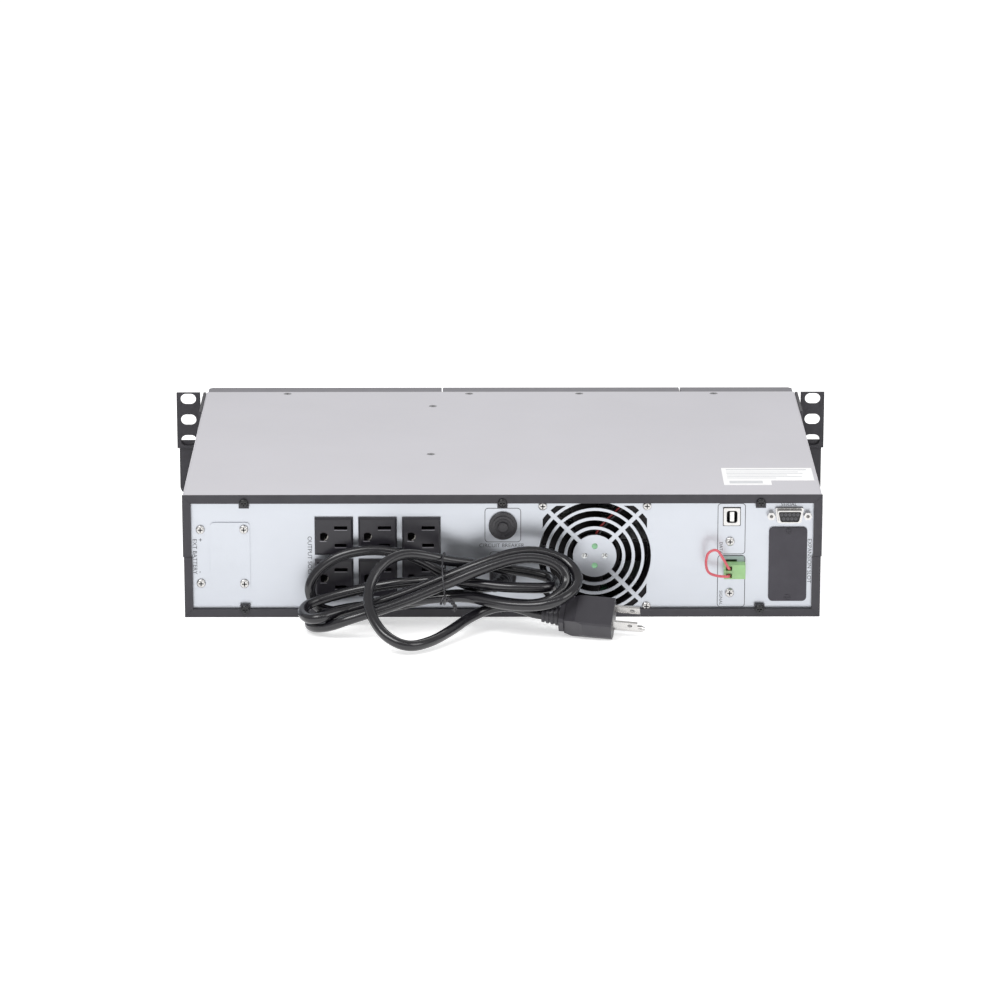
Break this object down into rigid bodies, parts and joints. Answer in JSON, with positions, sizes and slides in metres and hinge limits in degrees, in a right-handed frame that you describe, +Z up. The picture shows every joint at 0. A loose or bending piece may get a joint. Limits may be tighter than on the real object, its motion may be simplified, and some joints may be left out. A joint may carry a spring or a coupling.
{
  "type": "rackmount uninterruptible power supply",
  "caption": "Low rack unit that backs up mains power: steel case with ears, outlets, fan grille, ports and a tied mains lead at the rear; display and battery door in front.",
  "frame": {"origin": "under the middle of the unit, on the surface it stands on, measured without the free cord", "axes": "+X to the right seen from behind, +Y towards the front bezel, +Z up; the rear panel faces -Y"},
  "size_m": [0.4826, 0.4028, 0.0872],
  "materials": {
    "steel_cover": "light grey satin paint with a fine grain",
    "zinc_panel": "bright zinc-plated sheet, faintly brushed",
    "chassis": "light grey satin paint",
    "black_steel": "black fine-textured powder coat",
    "zinc_screw": "bright zinc",
    "black_screw": "black oxide, satin",
    "bezel": "light grey, fine spark texture",
    "window": "smoked clear acrylic",
    "button": "dark grey, satin",
    "paper_label": "coated white",
    "outlet": "black, lightly glossy moulding",
    "black_plastic": "black moulding",
    "breaker_metal": "bright nickel plate",
    "breaker_cap": "black, glossy",
    "cord": "black glossy flexible jacket",
    "port_metal": "bright nickel plate",
    "header": "grey-green moulding",
    "signal_green": "light green moulding",
    "wire_red": "red insulation",
    "fan": "black glass-filled moulding",
    "blades": "nickel-plated brass",
    "battery_case": "dark grey moulding",
    "pcb": "green solder mask",
    "heat_sink": "raw extruded",
    "magnetics": "lacquered windings",
    "capacitor": "dark sleeve",
    "tray": "zinc plate",
    "tie": "black twist tie"
  },
  "bodies": {
    "case": {"base_chassis": "chassis", "top_cover": "steel_cover", "cover_screws": "zinc_screw", "cover_label": "paper_label", "rear_frame_upper": "black_steel", "rear_frame_lower": "black_steel", "rear_frame_screws": "black_screw", "rear_panel": "zinc_panel", "front_bulkhead": "chassis", "terminal_cover": "zinc_panel", "terminal_socket": "black_plastic", "panel_screws": "zinc_screw", "breaker_body": "black_plastic", "breaker_nut": "breaker_metal", "cord_gland": "black_plastic", "usb_port": "port_metal", "signal_header": "header", "serial_port": "port_metal", "serial_jackscrews": "breaker_metal", "slot_cover": "black_steel", "slot_screws": "black_screw", "fan_frame": "fan", "fan_screws": "zinc_screw", "ear_screws": "black_screw", "centre_grille": "bezel", "display_bezel": "bezel", "display_window": "window", "main_board": "pcb", "heat_sinks": "heat_sink", "power_magnetics": "magnetics", "bulk_capacitors": "capacitor", "control_board": "pcb", "cord_inlet_run": "cord", "cord_hank": "cord", "cord_plug_run": "cord", "cord_tie": "tie", "plug_body": "cord", "plug_blades": "blades", "output_socket_1": "outlet", "output_socket_2": "outlet", "output_socket_3": "outlet", "output_socket_4": "outlet", "output_socket_5": "outlet", "output_socket_6": "outlet", "rack_ear_left": "black_steel", "ear_plate_left": "black_steel", "rack_ear_right": "black_steel", "ear_plate_right": "black_steel"},
    "fan_rotor": {"fan_rotor": "fan"},
    "breaker_button": {"breaker_button": "breaker_cap"},
    "power_button": {"power_button": "button"},
    "menu_button": {"menu_button": "button"},
    "enter_button": {"enter_button": "button"},
    "battery_door": {"battery_door": "bezel"},
    "battery_pack": {"battery_tray": "tray", "battery_1": "battery_case", "battery_2": "battery_case", "battery_leads": "wire_red"},
    "signal_plug": {"signal_plug": "signal_green", "signal_jumper": "wire_red"}
  },
  "joints": [
    {"name": "fan_spin", "type": "hinge", "parent": "case", "child": "fan_rotor", "pos_m": [0.0634, -0.12498, 0.0427], "axis": [0, 1, 0], "continuous": true},
    {"name": "breaker_trip", "type": "slide", "parent": "case", "child": "breaker_button", "axis": [0, -1, 0], "range_m": [0, 0.004]},
    {"name": "power_button_press", "type": "slide", "parent": "case", "child": "power_button", "axis": [0, -1, 0], "range_m": [0, 0.0015], "stiffness_N_per_m": 300},
    {"name": "menu_button_press", "type": "slide", "parent": "case", "child": "menu_button", "axis": [0, -1, 0], "range_m": [0, 0.0015], "stiffness_N_per_m": 300},
    {"name": "enter_button_press", "type": "slide", "parent": "case", "child": "enter_button", "axis": [0, -1, 0], "range_m": [0, 0.0015], "stiffness_N_per_m": 300},
    {"name": "battery_pack_slide", "type": "slide", "parent": "case", "child": "battery_pack", "axis": [0, 1, 0], "range_m": [0, 0.18]},
    {"name": "battery_door_pull", "type": "slide", "parent": "case", "child": "battery_door", "axis": [0, 1, 0], "range_m": [0, 0.24]},
    {"name": "signal_plug_pull", "type": "slide", "parent": "case", "child": "signal_plug", "axis": [0, -1, 0], "range_m": [0, 0.012]}
  ],
  "couplings": [
    {"joint": "battery_door_pull", "follows": "battery_pack_slide", "ratio": 1.3333}
  ]
}
